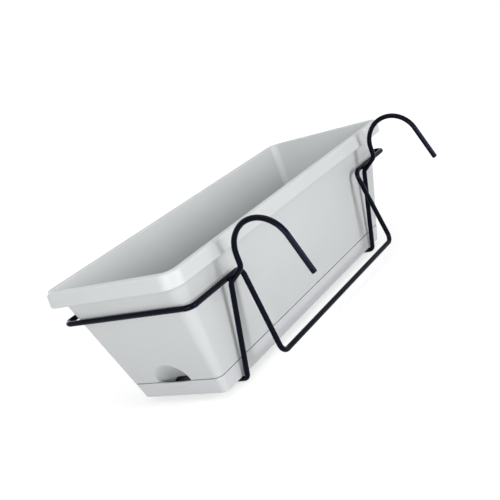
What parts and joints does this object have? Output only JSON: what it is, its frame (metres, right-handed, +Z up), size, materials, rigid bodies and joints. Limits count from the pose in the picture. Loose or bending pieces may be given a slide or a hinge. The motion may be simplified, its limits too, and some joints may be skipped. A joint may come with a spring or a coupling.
{
  "type": "rail planter box",
  "caption": "Tapered rectangular balcony planter with a folded rim and a flush drip tray, carried in a bent-wire hanger whose hooks go over a rail.",
  "frame": {"origin": "middle of the bounding box's underside, on the surface the hanger's two bottom wires stand on", "axes": "+X along the trough, +Y towards the rail and the hooks, +Z up"},
  "size_m": [0.502, 0.2793, 0.1748],
  "materials": {
    "trough_plastic": "satin, pale grey-white",
    "tray_plastic": "satin, pale grey-white",
    "wire_coating": "satin black powder coat on steel wire"
  },
  "bodies": {
    "hanger": {"ring_wire": "wire_coating", "hook_wire_left": "wire_coating", "hook_wire_right": "wire_coating"},
    "tray": {"drip_tray": "tray_plastic"},
    "trough": {"planter_box": "trough_plastic"}
  },
  "joints": [
    {"name": "tray_lift", "type": "slide", "parent": "hanger", "child": "tray", "axis": [0, 0, 1], "range_m": [0, 0.16]},
    {"name": "box_lift", "type": "slide", "parent": "tray", "child": "trough", "axis": [0, 0, 1], "range_m": [0, 0.1]}
  ]
}
